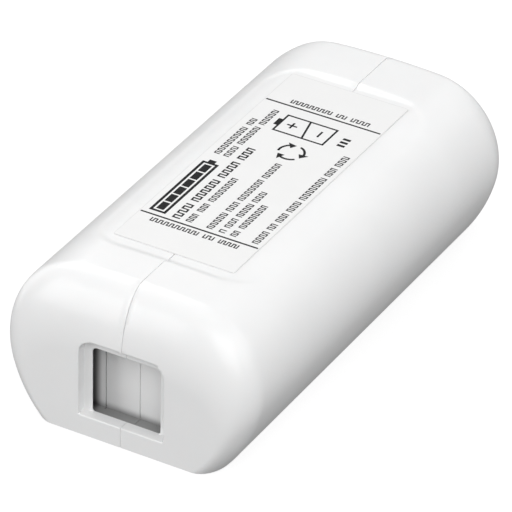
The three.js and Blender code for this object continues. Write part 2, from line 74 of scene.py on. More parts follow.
# The cross-section: a nearly flat crown, a shoulder, a flank that tucks in, and a small bottom radius.
CROWN_RADIUS = 150
CROWN_HALF_WIDTH = 8.9
SHOULDER_RADIUS = 11.5
SHOULDER_END = math.radians(104)
FLANK_RADIUS = 25
BOTTOM_RADIUS = 0.45

# Each end rounds over as a quarter ellipse, run long and drop high, with upright corners of a radius.
FRONT = {"side": -1, "run": 5.8, "drop": 10.6, "corner": 4.6}
BACK = {"side": 1, "run": 3.6, "drop": 9.8, "corner": 6.5}

# The pocket for the film, and the soft step round it.
POCKET = {
    "half_width": 13.55, "length": 55, "centre_y": -0.2,
    "corner": 6, "floor_z": 23.77, "step": 0.12,
}
POCKET_RAMP = 1.3
LABEL = {
    "width": 19.1, "length": 50, "centre_x": -0.2, "centre_y": 0.05,
    "corner": 0.4, "lift": 0.01, "thickness": 0.1,
}
# The film carries painted shade this near to its cut edge, by this factor.
FILM_EDGE = 0.1
FILM_EDGE_PAINTED_SHADE = 0.86

RECESS = {
    "half_width": 6.7, "low": 3.25, "high": 15.5, "corner": 2.2,
    "depth": 1.5, "mouth": 0.2, "foot": 0.25,
}
WINDOW = {
    "half_width": 5.4, "low": 3.25, "high": 13.8, "corner": 0.8, "low_corner": 0.45,
    "plate": 0.8, "mouth": 0.15, "land": 0.2,
}
BAY = {"half_width": 7.6, "floor_z": 1.6, "roof_z": 16.9, "back_y": -LENGTH / 2 + 5.25}
BAY_GROOVE = {"x": 5.4, "half_width": 0.12, "depth": 0.3, "end": 0.3}
# Painted shade in the bay: the plastic's colour is multiplied by these factors at the bay's sides, floor and
# grooves. The painted shade fades out over these distances, inwards from "start" inside the side walls and
# upwards from "start" below the floor. At the grooves it reaches "groove_past" beyond their depth.
BAY_PAINTED_SHADE = {
    "side": 0.1, "side_fade": 1.5, "floor": 0.39, "floor_fade": 1.55, "start": 0.2,
    "groove": 0.66, "groove_past": 0.05,
}
# The painted shade is held to a box that reaches this far past the bay's walls, floor and roof, and forward
# of its back.
BAY_PAINTED_SHADE_BOX = {"beside": 0.4, "behind": 0.3, "forward": 3.3, "below": 0.6, "above": 0.9}

# The fine skin reaches SKIN deep, and the CAD half is kept from KEEP inwards, so that the two overlap.
SKIN = 0.5
KEEP = 0.4
# The front's tools cut up to this much past the CAD's faces, so that no two cuts share a plane. The rounded
# mouths, the window's flare and the grooves, which the CAD doesn't have, are apart from that.
SLIP = 0.01
# The window's and the grooves' tools run on this far into the open bay.
OVERRUN = 0.5
# A flared tool's corners are never sharper than this.
LEAST_RADIUS = 0.02

# A face counts as level or upright when its normal's largest part is more than this.
LEVEL = 0.99999


# ---- Meshes and booleans -------------------------------------------------------------------------

def mesh_object(name, points, faces):
    """A mesh object from points in millimetres."""
    mesh = bpy.data.meshes.new(name)
    mesh.from_pydata([(x * MM, y * MM, z * MM) for x, y, z in points], [], faces)
    mesh.update()
    obj = bpy.data.objects.new(name, mesh)
    bpy.context.collection.objects.link(obj)
    return obj


def delete(obj):
    bpy.data.objects.remove(obj, do_unlink=True)


def apply_modifiers(obj):
    """Replaces an object's mesh with what its modifiers make of it."""
    graph = bpy.context.evaluated_depsgraph_get()
    solid = obj.evaluated_get(graph)
    made = bpy.data.meshes.new_from_object(solid, preserve_all_data_layers=True, depsgraph=graph)
    obj.modifiers.clear()
    obj.data = made


def combine(target, tool, operation):
    """Joins, cuts or intersects a closed mesh with another, which is used up."""
    modifier = target.modifiers.new("combine", "BOOLEAN")
    modifier.operation = operation
    modifier.solver = "MANIFOLD"
    modifier.object = tool
    apply_modifiers(target)
    delete(tool)


def copy_of(obj, name):
    twin = bpy.data.objects.new(name, obj.data.copy())
    bpy.context.collection.objects.link(twin)
    return twin


def smooth(obj, crease=35):
    """Smooth shading with creases kept, and level and upright faces kept flat."""
    mesh = obj.data
    mesh.shade_smooth()
    mesh.set_sharp_from_angle(angle=math.radians(crease))
    modifier = obj.modifiers.new("normals", "WEIGHTED_NORMAL")
    modifier.mode = "FACE_AREA"
    modifier.keep_sharp = True
    apply_modifiers(obj)
    mesh = obj.data
    normals = [tuple(corner.vector) for corner in mesh.corner_normals]
    for polygon in mesh.polygons:
        if max(abs(part) for part in polygon.normal) > LEVEL:
            for i in polygon.loop_indices:
                normals[i] = tuple(polygon.normal)
    mesh.normals_split_custom_set(normals)


def box(low, high):
    points = list(itertools.product(*zip(low, high)))
    faces = [(0, 1, 3, 2), (4, 6, 7, 5), (0, 4, 5, 1), (2, 3, 7, 6), (0, 2, 6, 4), (1, 5, 7, 3)]
    return mesh_object("box", points, faces)


def loft(name, rings, ring_closed=False):
    """Rings of equal length, joined side to side. The ends are capped unless the last meets the first."""
    count = len(rings[0])
    points = [point for ring in rings for point in ring]
    faces = []
    spans = len(rings) if ring_closed else len(rings) - 1
    for span in range(spans):
        here, there = span * count, (span + 1) % len(rings) * count
        for i in range(count):
            j = (i + 1) % count
            faces.append((here + j, here + i, there + i, there + j))
    if not ring_closed:
        faces.append(tuple(range(count)))
        faces.append(tuple(reversed(range((len(rings) - 1) * count, len(rings) * count))))
    return mesh_object(name, points, faces)


# ---- The case's outer form -----------------------------------------------------------------------

def next_centre(centre, slope, distance):
    return centre[0] + distance * math.sin(slope), centre[1] + distance * math.cos(slope)


def spread(low, high, steps):
    """Evenly spaced values, without the last."""
    return [low + (high - low) * i / steps for i in range(steps)]


CROWN_END = math.asin(CROWN_HALF_WIDTH / CROWN_RADIUS)
CROWN_CENTRE = (0, HEIGHT - CROWN_RADIUS)
SHOULDER_CENTRE = next_centre(CROWN_CENTRE, CROWN_END, CROWN_RADIUS - SHOULDER_RADIUS)
FLANK_CENTRE = next_centre(SHOULDER_CENTRE, SHOULDER_END, SHOULDER_RADIUS - FLANK_RADIUS)
# Between these places across, points lie a step apart, for the pocket's rim and corners.
DENSE_FROM_X = 7.2
DENSE_TO_X = 14.4
DENSE_STEP = 0.2


def top_at(x):
    """The height of the crown and shoulder."""
    x = abs(x)
    if x <= CROWN_HALF_WIDTH:
        return CROWN_CENTRE[1] + math.sqrt(CROWN_RADIUS**2 - x**2)
    return SHOULDER_CENTRE[1] + math.sqrt(SHOULDER_RADIUS**2 - (x - SHOULDER_CENTRE[0])**2)


def section_half(offset, bottom_radius):
    """The section's right half, from the top to the middle of the underside, set in by an offset."""
    dense = round((DENSE_TO_X - DENSE_FROM_X) / DENSE_STEP)
    across = spread(0, DENSE_FROM_X, 6) + spread(DENSE_FROM_X, DENSE_TO_X, dense)
    crown = [math.asin(x / CROWN_RADIUS) for x in across if x < CROWN_HALF_WIDTH]
    near = [math.asin((x - SHOULDER_CENTRE[0]) / SHOULDER_RADIUS) for x in across if x >= CROWN_HALF_WIDTH]
    turn = math.asin((DENSE_TO_X - SHOULDER_CENTRE[0]) / SHOULDER_RADIUS)
    shoulder = near + spread(turn, SHOULDER_END, 28)
    inner = FLANK_RADIUS - offset - bottom_radius
    rise = bottom_radius + offset - FLANK_CENTRE[1]
    flank_end = math.acos(rise / inner)
    bottom_centre = next_centre(FLANK_CENTRE, flank_end, inner)
    arcs = [
        (CROWN_CENTRE, CROWN_RADIUS - offset, crown),
        (SHOULDER_CENTRE, SHOULDER_RADIUS - offset, shoulder),
        (FLANK_CENTRE, FLANK_RADIUS - offset, spread(SHOULDER_END, flank_end, 14)),
        (bottom_centre, bottom_radius, spread(flank_end, math.pi, 6) if bottom_radius else [math.pi]),
    ]
    half = [next_centre(centre, slope, radius) for centre, radius, slopes in arcs for slope in slopes]
    if bottom_radius:
        half.append((bottom_centre[0], offset))
    return half + [(bottom_centre[0] / 2, offset), (0, offset)]


def fall(distance, run, drop):
    """How far a quarter ellipse, run long and drop high, has fallen at a distance in from its tip."""
    back = max(0, run - distance) / run
    return drop * (1 - math.sqrt(1 - back * back))


def end_stations(end, offset, steps):
    """One end's stations, from its face inwards: y, how much lower, how much narrower."""
    reach = max(end["run"], end["corner"]) - offset
    stations = []
    for i in range(steps + 1):
        distance = reach * (1 - math.cos(math.pi / 2 * i / steps))
        y = end["side"] * (LENGTH / 2 - offset - distance)
        lower = fall(distance, end["run"] - offset, end["drop"] - offset)
        narrow = fall(distance, end["corner"] - offset, end["corner"] - offset)
        stations.append((y, lower, narrow))
    return stations


def middle_stations(front_y, back_y):
    """Stations between the ends, close together across the pocket's two ends."""
    outside, past_corner = 0.6, 1
    reach = POCKET["length"] / 2 + outside
    dense = POCKET["corner"] + past_corner
    low, high = POCKET["centre_y"] - reach, POCKET["centre_y"] + reach
    fine = round(dense / DENSE_STEP)
    ys = spread(front_y, low, 5)[1:]
    ys += spread(low, low + dense, fine)
    ys += spread(low + dense, high - dense, 24)
    ys += spread(high - dense, high, fine)
    ys += spread(high, back_y, 6)
    return [(y, 0, 0) for y in ys]


def smoothstep(t):
    t = min(1, max(0, t))
    return t * t * (3 - 2 * t)


def floor_at(x):
    """The height of the pocket's floor: flat in the middle, then just under the crown."""
    return min(POCKET["floor_z"], top_at(x) - POCKET["step"])


def pocket_depth(x, y):
    """How far the surface lies under the crown, rising softly at the pocket's rim."""
    over_x = abs(x) - POCKET["half_width"] + POCKET["corner"]
    over_y = abs(y - POCKET["centre_y"]) - POCKET["length"] / 2 + POCKET["corner"]
    corner = math.hypot(max(over_x, 0), max(over_y, 0))
    inside = POCKET["corner"] - corner - min(max(over_x, over_y), 0)
    if inside <= 0:
        return 0
    return smoothstep(inside / POCKET_RAMP) * (top_at(x) - floor_at(x))


def all_stations(offset):
    """The stations from the front face to the back one."""
    front = end_stations(FRONT, offset, 30)
    back = end_stations(BACK, offset, 26)
    return front + middle_stations(front[-1][0], back[-1][0]) + back[::-1]


def body(name, offset, bottom_radius=0, with_pocket=False):
    """The whole body as one closed mesh, set in by an offset all round."""
    half = section_half(offset, bottom_radius)
    widest = max(x for x, _ in half)
    high = HEIGHT - 2 * offset
    rings = []
    for y, lower, narrow in all_stations(offset):
        across, up = (widest - narrow) / widest, (high - lower) / high
        left = []
        for x, z in half:
            sunk = pocket_depth(x, y) if with_pocket and z > HEIGHT / 2 and lower == 0 else 0
            left.append((-x * across, y, offset + (z - offset) * up - sunk))
        rings.append(left + [(-x, y, z) for x, y, z in left[-2:0:-1]])
    return loft(name, rings)


# ---- The front end's recess, window and bay ------------------------------------------------------

def rounded_ring(half_width, low, high, low_radius, high_radius, y, steps=8):
    """A rectangle with rounded corners at one y, counter-clockwise as seen from the front."""
    corners = [
        (half_width - high_radius, high - high_radius, high_radius, 0),
        (-half_width + high_radius, high - high_radius, high_radius, 90),
        (-half_width + low_radius, low + low_radius, low_radius, 180),
        (half_width - low_radius, low + low_radius, low_radius, 270),
    ]
    ring = []
    for x, z, radius, start in corners:
        for i in range(steps + 1):
            angle = math.radians(start + 90 * i / steps)
            ring.append((x + radius * math.cos(angle), y, z + radius * math.sin(angle)))
    return ring


def rounded_mouth(mouth, low_share):
    """A mouth's profile, from outside the face inwards: growth, depth and the low edge's growth.

    The curve starts a nudge outside the face, so that no ring lies in the face's plane."""
    outside, nudge = 1, 0.001
    profile = [(mouth, -outside, mouth * low_share)]
    for angle in spread(90, 0, 7):
        turn = math.radians(angle)
        grow = mouth * (1 - math.cos(turn))
        profile.append((grow, mouth * (1 - math.sin(turn)) - nudge, grow * low_share))
    return profile + [(0, mouth, 0)]


def flared_tool(name, hole, face_y, profile, low_radius):
    """A tool that cuts a hole whose outline grows and shrinks with depth, as the profile says."""
    rings = []
    for grow, deep, grow_low in profile:
        rings.append(rounded_ring(
            hole["half_width"] + grow,
            hole["low"] - grow_low,
            hole["high"] + grow,
            max(LEAST_RADIUS, low_radius + grow),
            max(LEAST_RADIUS, hole["corner"] + grow),
            face_y + deep,
        ))
    return loft(name, rings)


def slipped(hole, slip):
    """A hole that is larger all round by a slip."""
    low, high = hole["low"] - slip, hole["high"] + slip
    return {**hole, "half_width": hole["half_width"] + slip, "low": low, "high": high}


def front_tools():
    """The tools that open the front end."""
    face = -LENGTH / 2
    recess_floor = face + RECESS["depth"] + SLIP
    foot, land = RECESS["foot"], WINDOW["land"]
    recess_profile = rounded_mouth(RECESS["mouth"], 1)
    for angle in spread(0, 90, 5) + [90]:
        turn = math.radians(angle)
        deep = RECESS["depth"] + SLIP - foot * (1 - math.sin(turn))
        recess_profile.append((-foot * (1 - math.cos(turn)), deep, 0))
    window_profile = rounded_mouth(WINDOW["mouth"], 0)
    overlap = 0.05
    relief = WINDOW["plate"] + overlap - land
    window_profile += [(0, land, 0)]
    window_profile += [(relief, land + relief + past, relief) for past in (0, OVERRUN)]
    recess = flared_tool("recess", slipped(RECESS, SLIP), face, recess_profile, foot)
    window_hole = slipped(WINDOW, SLIP / 2)
    window = flared_tool("window", window_hole, recess_floor, window_profile, WINDOW["low_corner"])
    plate_back = face + RECESS["depth"] + WINDOW["plate"]
    bay = box(
        (-BAY["half_width"] - SLIP, plate_back - SLIP, BAY["floor_z"] - SLIP),
        (BAY["half_width"] + SLIP, BAY["back_y"] + SLIP, BAY["roof_z"] + SLIP),
    )
    tools = [recess, window, bay]
    size = (BAY_GROOVE["half_width"], BAY_GROOVE["depth"])
    grooves = [(0, SEAM_BEVEL, SEAM_BEVEL), (BAY_GROOVE["x"], *size), (-BAY_GROOVE["x"], *size)]
    for x, half, deep in grooves:
        low = (x - half, BAY["back_y"] - OVERRUN, BAY["floor_z"] + BAY_GROOVE["end"])
        high = (x + half, BAY["back_y"] + deep, BAY["roof_z"] - BAY_GROOVE["end"])
        tools.append(box(low, high))
    return tools


# ---- The seam's bevel ----------------------------------------------------------------------------

def side_view():
    """The outline that the seam follows, from the bottom front: y, z, and the normal's y and z."""
    line = [(-LENGTH / 2, 0)]
    for y, lower, _ in all_stations(0):
        sunk = pocket_depth(0, y) if lower == 0 else 0
        line.append((y, HEIGHT - lower - sunk))
    line.append((LENGTH / 2, 0))
    outline = []
    for i, (y, z) in enumerate(line):
        before, after = line[i - 1], line[(i + 1) % len(line)]
        along = Vector((after[0] - before[0], after[1] - before[1])).normalized()
        outline.append((y, z, -along.y, along.x))
    return outline


def seam_tool():
    """A wedge that runs right round the seam and bevels both halves' edges."""
    rings = []
    for y, z, out_y, out_z in side_view():
        wide, above, deep = 2 * SEAM_BEVEL + SEAM_GAP / 2, SEAM_BEVEL, SEAM_BEVEL + SEAM_GAP / 2
        rings.append([
            (0, y - out_y * deep, z - out_z * deep),
            (wide, y + out_y * above, z + out_z * above),
            (-wide, y + out_y * above, z + out_z * above),
        ])
    return loft("seam", rings, ring_closed=True)


# ---- Case halves ---------------------------------------------------------------------------------

def closed_copy(node, name):
    """A copy of a CAD node's solid, with its corners joined."""
    twin = copy_of(frame["nodes"][node], name)
    mesh = bmesh.new()
    mesh.from_mesh(twin.data)
    bmesh.ops.remove_doubles(mesh, verts=mesh.verts, dist=1e-8)
    mesh.to_mesh(twin.data)
    mesh.free()
    return twin


def case_half(name, node, side):
    """One half of the case: a fine outer skin, joined to the inside of its CAD solid."""
    far = 60
    edge = SEAM_GAP / 2
    outer = body(name, 0, BOTTOM_RADIUS, with_pocket=True)
    hollow = body("hollow", SKIN)
    combine(outer, hollow, "DIFFERENCE")
    low = (edge, -far, -far) if side > 0 else (-far, -far, -far)
    high = (far, far, far) if side > 0 else (-edge, far, far)
    combine(outer, box(low, high), "INTERSECT")
    inside = closed_copy(node, "inside")
    combine(inside, body("core", KEEP), "INTERSECT")
    combine(outer, inside, "UNION")
    for tool in front_tools() + [seam_tool()]:
        combine(outer, tool, "DIFFERENCE")
    smooth(outer)
    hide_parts(node)
    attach(outer, "root")
    return outer


# ---- Label ---------------------------------------------------------------------------------------

def film():
    """The printed film, on the pocket's floor."""
    half, length = LABEL["width"] / 2, LABEL["length"]
    low_y = LABEL["centre_y"] - length / 2
    ring = rounded_ring(half, low_y, low_y + length, LABEL["corner"], LABEL["corner"], 0, 6)
    base = POCKET["floor_z"] + LABEL["lift"]
    edge = 0.03
    profile = [(edge, 0), (0, edge), (0, LABEL["thickness"] - edge), (edge, LABEL["thickness"])]
    middle_x, middle_y = LABEL["centre_x"], LABEL["centre_y"]
    rings = []
    for inset, rise in profile:
        across, along = (half - inset) / half, (length / 2 - inset) / (length / 2)
        rings.append([
            (middle_x + x * across, middle_y + (y - middle_y) * along, base + rise) for x, _, y in ring
        ])
    obj = loft("printed_film", rings)
    smooth(obj)
    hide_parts("label_film")
    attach(obj, "root")
    return obj


INK_RISE = 0.012
INK_THICKNESS = 0.04
INK_TOP = POCKET["floor_z"] + LABEL["lift"] + LABEL["thickness"] + INK_RISE
INK_BOTTOM = INK_TOP - INK_THICKNESS
LABEL_LEFT = LABEL["centre_x"] - LABEL["width"] / 2
LABEL_FRONT = LABEL["centre_y"] - LABEL["length"] / 2


def around(centre, radius, degrees):
    """A point on a circle."""
    angle = math.radians(degrees)
    return centre[0] + radius * math.cos(angle), centre[1] + radius * math.sin(angle)


class Print:
    """Ink on the film. Places are millimetres along from its front edge and down from its left edge."""

    def __init__(self):
        self.points = []
        self.faces = []

    def patch(self, outline):
        """A filled patch, from (along, down) points in either order."""
        area = sum(a[0] * b[1] - b[0] * a[1] for a, b in zip(outline, outline[1:] + outline[:1]))
        if area < 0:
            outline = outline[::-1]
        count, start = len(outline), len(self.points)
        for z in (INK_BOTTOM, INK_TOP):
            self.points += [(LABEL_LEFT + down, LABEL_FRONT + along, z) for along, down in outline]
        self.faces.append(tuple(start + i for i in range(count)))
        self.faces.append(tuple(start + count + i for i in reversed(range(count))))
        for i in range(count):
            j = (i + 1) % count
            self.faces.append((start + j, start + i, start + count + i, start + count + j))

    def bar(self, along_low, along_high, down_low, down_high):
        self.patch([
            (along_low, down_low), (along_high, down_low), (along_high, down_high), (along_low, down_high),
        ])

    def stroke(self, start, end, width):
        """A straight stroke with square ends."""
        along, down = end[0] - start[0], end[1] - start[1]
        length = math.hypot(along, down)
        side = (-down / length * width / 2, along / length * width / 2)
        self.patch([
            (start[0] + side[0], start[1] + side[1]), (end[0] + side[0], end[1] + side[1]),
            (end[0] - side[0], end[1] - side[1]), (start[0] - side[0], start[1] - side[1]),
        ])

    def frame(self, along_low, along_high, down_low, down_high, width):
        """A rectangle's outline, mitred at its corners."""
        start = len(self.points)
        for z in (INK_BOTTOM, INK_TOP):
            for inset in (0, width):
                low, high = along_low + inset, along_high - inset
                top, bottom = down_low + inset, down_high - inset
                for along, down in ((low, top), (high, top), (high, bottom), (low, bottom)):
                    self.points.append((LABEL_LEFT + down, LABEL_FRONT + along, z))
        for i in range(4):
            outer, outer_next = start + i, start + (i + 1) % 4
            inner, inner_next = outer + 4, outer_next + 4
            self.faces += [
                (outer, outer_next, inner_next, inner),
                (outer_next + 8, outer + 8, inner + 8, inner_next + 8),
                (outer_next, outer, outer + 8, outer_next + 8),
                (inner, inner_next, inner_next + 8, inner + 8),
            ]

    def plus(self, along, down, arm, width):
        """A plus sign, as one outline."""
        half = width / 2
        quarter = [(half, half), (half, arm), (-half, arm)]
        outline = []
        for cos, sin in ((1, 0), (0, 1), (-1, 0), (0, -1)):
            outline += [(along + cos * a - sin * d, down + sin * a + cos * d) for a, d in quarter]
        self.patch(outline)

    def meander(self, start, end, low, high, stroke, turned=False):
        """A square wave that stands for a word. Its stems are evenly spaced between two places."""
        count = max(2, round((end - start - stroke) / (stroke * 2.3)) + 1)
        pitch = (end - start - stroke) / (count - 1)
        gaps = [(start + i * pitch + stroke, start + (i + 1) * pitch) for i in range(count - 1)]
        outline = [(start, low), (start, high)]
        for near, far in gaps[0::2]:
            outline += [(near, high), (near, low + stroke), (far, low + stroke), (far, high)]
        outline += [(end, high), (end, low)]
        for near, far in gaps[1::2][::-1]:
            outline += [(far, low), (far, high - stroke), (near, high - stroke), (near, low)]
        self.patch([(b, a) for a, b in outline] if turned else outline)

    def words(self, start, end, low, high, stroke, lengths, gap=0.75, turned=False):
        """A line of such words, fitted between two places. A turned line runs down the film."""
        scale = (end - start) / (sum(lengths) + gap * (len(lengths) - 1))
        place = start
        for length in lengths:
            self.meander(place, place + length * scale, low, high, stroke, turned)
            place += (length + gap) * scale

    def arc(self, centre, radius, width, start, end, steps=10):
        """Part of a ring, from one angle to another in degrees."""
        outline = []
        there = list(range(steps + 1))
        for reach, order in ((radius + width / 2, there), (radius - width / 2, there[::-1])):
            outline += [around(centre, reach, start + (end - start) * i / steps) for i in order]
        self.patch(outline)

    def object(self, name):
        obj = mesh_object(name, self.points, self.faces)
        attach(obj, "root")
        return obj


def charge_gauge(ink, start, end, top, bottom):
    """A lying battery with a row of charge bars."""
    stroke, nub, shoulder, gap, count = 0.42, 0.7, 0.75, 0.3, 6
    ink.frame(start, end - nub, top, bottom, stroke)
    ink.bar(end - nub, end, top + shoulder, bottom - shoulder)
    low, high = start + stroke + gap, end - nub - stroke - gap
    pitch = (high - low + gap) / count
    for i in range(count):
        ink.bar(low + i * pitch, low + (i + 1) * pitch - gap, top + stroke + gap, bottom - stroke - gap)


def standing_cell(ink, centre, width, top, bottom):
    """A cell's outline with its two signs."""
    stroke, nub, nub_half, arm = 0.3, 0.6, 0.9, 0.8
    low, high = centre - width / 2, centre + width / 2
    ink.frame(low, high, top + nub, bottom, stroke)
    ink.bar(centre - nub_half, centre + nub_half, top, top + nub)
    plus, minus = top + 2.6, bottom - 1.8
    ink.plus(centre, plus, arm, stroke)
    ink.bar(centre - arm, centre + arm, minus - stroke / 2, minus + stroke / 2)
    middle = (top + nub + bottom) / 2
    ink.stroke((low + stroke, middle + 0.6), (high - stroke, middle - 0.3), stroke)


def ring_of_arrows(ink, centre, radius):
    """Three arrows that chase each other round a ring. Tail, neck and tip are degrees along a third."""
    width, arrow, share = 0.36, 0.75, 120
    tail, neck, tip = 16, 84, 116
    for start in range(0, 360, share):
        ink.arc(centre, radius, width, start + tail, start + neck)
        ink.patch([
            around(centre, radius - arrow, start + neck),
            around(centre, radius + arrow, start + neck),
            around(centre, radius, start + tip),
        ])


def black_print():
    """The rules, the bold lines and the signs."""
    ink = Print()
    rule, margin, bold, half_bar = 0.3, 0.25, 0.27, 0.25
    for along in (7.0, 41.9):
        ink.bar(along - rule / 2, along + rule / 2, margin, LABEL["width"] - margin)
    charge_gauge(ink, 7.9, 23.4, 1.0, 3.6)
    ink.words(7.8, 29.0, 4.7, 5.95, bold, [4.2, 6.4, 4.6, 3.4], 1)
    standing_cell(ink, 37.3, 4.8, 4.5, 13.4)
    ring_of_arrows(ink, (31.0, 10.5), 1.9)
    for along in (36.2, 37.1, 38.0):
        ink.bar(along - half_bar, along + half_bar, 15.0, 16.2)
    return ink.object("label_bold_print")


def fine_print():
    """The fine lines."""
    ink = Print()
    light = 0.19
    ink.words(25.3, 36.2, 1.2, 2.15, light, [6.6, 1.5])
    ink.words(25.3, 39.8, 2.7, 3.65, light, [2.6, 4.6, 3.9])
    ink.words(7.9, 20.9, 6.8, 7.8, light, [1.9, 1.9, 6.0])
    ink.words(7.9, 27.4, 10.1, 11.1, light, [4.7, 2.6, 6.3, 4.4])
    ink.words(7.9, 19.9, 12.05, 13.05, light, [0.8, 2.6, 3.8, 3.0])
    ink.words(7.9, 16.9, 13.85, 14.85, light, [1.2, 5.6])
    ink.words(7.9, 34.0, 17.3, 18.35, light, [3.4, 1.6, 2.4, 2.9, 6.6, 2.3, 2.9])
    ink.words(2.5, 16.4, 5.4, 6.35, light, [6.9, 1.5, 2.8], turned=True)
    ink.words(3.7, 16.4, 42.65, 43.6, light, [6.3, 1.5, 2.8], turned=True)
    return ink.object("label_fine_print")


# ---- Foam ----------------------------------------------------------------------------------------

def pillow(name, node, inset, hollow):
    """A foam strip with soft edges, slightly hollow above and below, in the space of its CAD solid."""
    power, pit_depth, pit_turns = 8, 0.02, (37, 41, 29)
    low, high = (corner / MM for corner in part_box(node))
    middle, half = (low + high) / 2, (high - low) / 2
    mesh = bmesh.new()
    bmesh.ops.create_cube(mesh, size=2)
    bmesh.ops.subdivide_edges(mesh, edges=mesh.edges[:], cuts=15, use_grid_fill=True)
    for vertex in mesh.verts:
        p = vertex.co.copy()
        norm = (abs(p.x)**power + abs(p.y)**power + abs(p.z)**power) ** (1 / power)
        p /= norm
        sag = 1 - hollow * (1 - p.x**2) * (1 - p.y**2)
        wave_x, wave_y, wave_z = (math.sin(part * turns) for part, turns in zip(p, pit_turns))
        pits = pit_depth * wave_x * wave_y * wave_z
        shape = Vector((p.x * (half.x - inset), p.y * (half.y - inset), p.z * (half.z - inset) * sag))
        vertex.co = (middle + shape * (1 - abs(pits))) * MM
    data = bpy.data.meshes.new(name)
    mesh.to_mesh(data)
    mesh.free()
    data.shade_smooth()
    obj = bpy.data.objects.new(name, data)
    bpy.context.collection.objects.link(obj)
    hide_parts(node)
    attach(obj, "root")
    return obj


# ---- Materials -----------------------------------------------------------------------------------

# Most of a noise texture's values lie in this range.
NOISE_LOW = 0.3
NOISE_HIGH = 0.7


class Material:
    """A Principled material whose textures lie in the object's own space."""

    def __init__(self, name, **settings):
        self.material = bpy.data.materials.new(name)
        self.material.use_nodes = True
        self.nodes = self.material.node_tree.nodes
        self.links = self.material.node_tree.links
        self.shader = next(node for node in self.nodes if node.type == "BSDF_PRINCIPLED")
        for socket, value in settings.items():
            self.shader.inputs[socket.replace("_", " ")].default_value = value
        self.place = self.nodes.new("ShaderNodeTexCoord").outputs["Object"]

    def stretched(self, scale):
        """The object's own space, scaled along each axis."""
        mapping = self.nodes.new("ShaderNodeMapping")
        mapping.inputs["Scale"].default_value = scale
        self.links.new(self.place, mapping.inputs["Vector"])
        return mapping.outputs["Vector"]

    def noise(self, size, detail=3, stretch=(1, 1, 1)):
        """Noise whose features are about size millimetres across."""
        node = self.nodes.new("ShaderNodeTexNoise")
        node.inputs["Scale"].default_value = 1 / (size * MM)
        node.inputs["Detail"].default_value = detail
        self.links.new(self.stretched(stretch), node.inputs["Vector"])
        return node.outputs["Fac"]

    def spread(self, value, low, high):
        """A noise value mapped onto a range."""
        node = self.nodes.new("ShaderNodeMapRange")
        node.inputs["From Min"].default_value = NOISE_LOW
        node.inputs["From Max"].default_value = NOISE_HIGH
        node.inputs["To Min"].default_value = low
        node.inputs["To Max"].default_value = high
        self.links.new(value, node.inputs["Value"])
        return node.outputs["Result"]

    def colour(self, value, dark, light):
        ramp = self.nodes.new("ShaderNodeValToRGB")
        ramp.color_ramp.elements[0].position = NOISE_LOW
        ramp.color_ramp.elements[0].color = (*dark, 1)
        ramp.color_ramp.elements[1].position = NOISE_HIGH
        ramp.color_ramp.elements[1].color = (*light, 1)
        self.links.new(value, ramp.inputs["Fac"])
        self.links.new(ramp.outputs["Color"], self.shader.inputs["Base Color"])
        return self

    def roughness(self, value, low, high):
        self.links.new(self.spread(value, low, high), self.shader.inputs["Roughness"])
        return self

    def bump(self, value, height, strength=1.0):
        """A bump whose height is in millimetres."""
        node = self.nodes.new("ShaderNodeBump")
        node.inputs["Distance"].default_value = height * MM
        node.inputs["Strength"].default_value = strength
        self.links.new(value, node.inputs["Height"])
        self.links.new(node.outputs["Normal"], self.shader.inputs["Normal"])
        return self

    def math(self, operation, *values):
        node = self.nodes.new("ShaderNodeMath")
        node.operation = operation
        for socket, value in zip(node.inputs, values):
            if isinstance(value, (int, float)):
                socket.default_value = value
            else:
                self.links.new(value, socket)
        return node.outputs["Value"]

    def axes(self):
        """The object's own x, y and z, in millimetres."""
        node = self.nodes.new("ShaderNodeSeparateXYZ")
        self.links.new(self.place, node.inputs["Vector"])
        return [self.math("DIVIDE", node.outputs[axis], MM) for axis in "XYZ"]

    def near(self, value, middle, reach):
        """1 where a value lies within reach of a middle, and 0 elsewhere."""
        return self.math("COMPARE", value, middle, reach)

    def between(self, value, low, high):
        """1 where a value lies between two others, and 0 elsewhere."""
        return self.near(value, (low + high) / 2, (high - low) / 2)

    def ramp(self, value, start, end, low, high):
        """A smooth change from low at the start to high at the end."""
        node = self.nodes.new("ShaderNodeMapRange")
        node.interpolation_type = "SMOOTHSTEP"
        for socket, number in (("From Min", start), ("From Max", end), ("To Min", low), ("To Max", high)):
            node.inputs[socket].default_value = number
        self.links.new(value, node.inputs["Value"])
        return node.outputs["Result"]

    def blend(self, share, first, second):
        """The first value where the share is 0, and the second where it is 1."""
        kept = self.math("MULTIPLY", self.math("SUBTRACT", 1, share), first)
        return self.math("ADD", kept, self.math("MULTIPLY", share, second))

    def darken(self, factor):
        """Multiplies the colour that is already there."""
        link = self.shader.inputs["Base Color"].links[0]
        node = self.nodes.new("ShaderNodeVectorMath")
        node.operation = "SCALE"
        self.links.new(link.from_socket, node.inputs["Vector"])
        self.links.new(factor, node.inputs["Scale"])
        self.links.new(node.outputs["Vector"], self.shader.inputs["Base Color"])

    def dress(self, *objects):
        for obj in objects:
            obj.data.materials.clear()
            obj.data.materials.append(self.material)


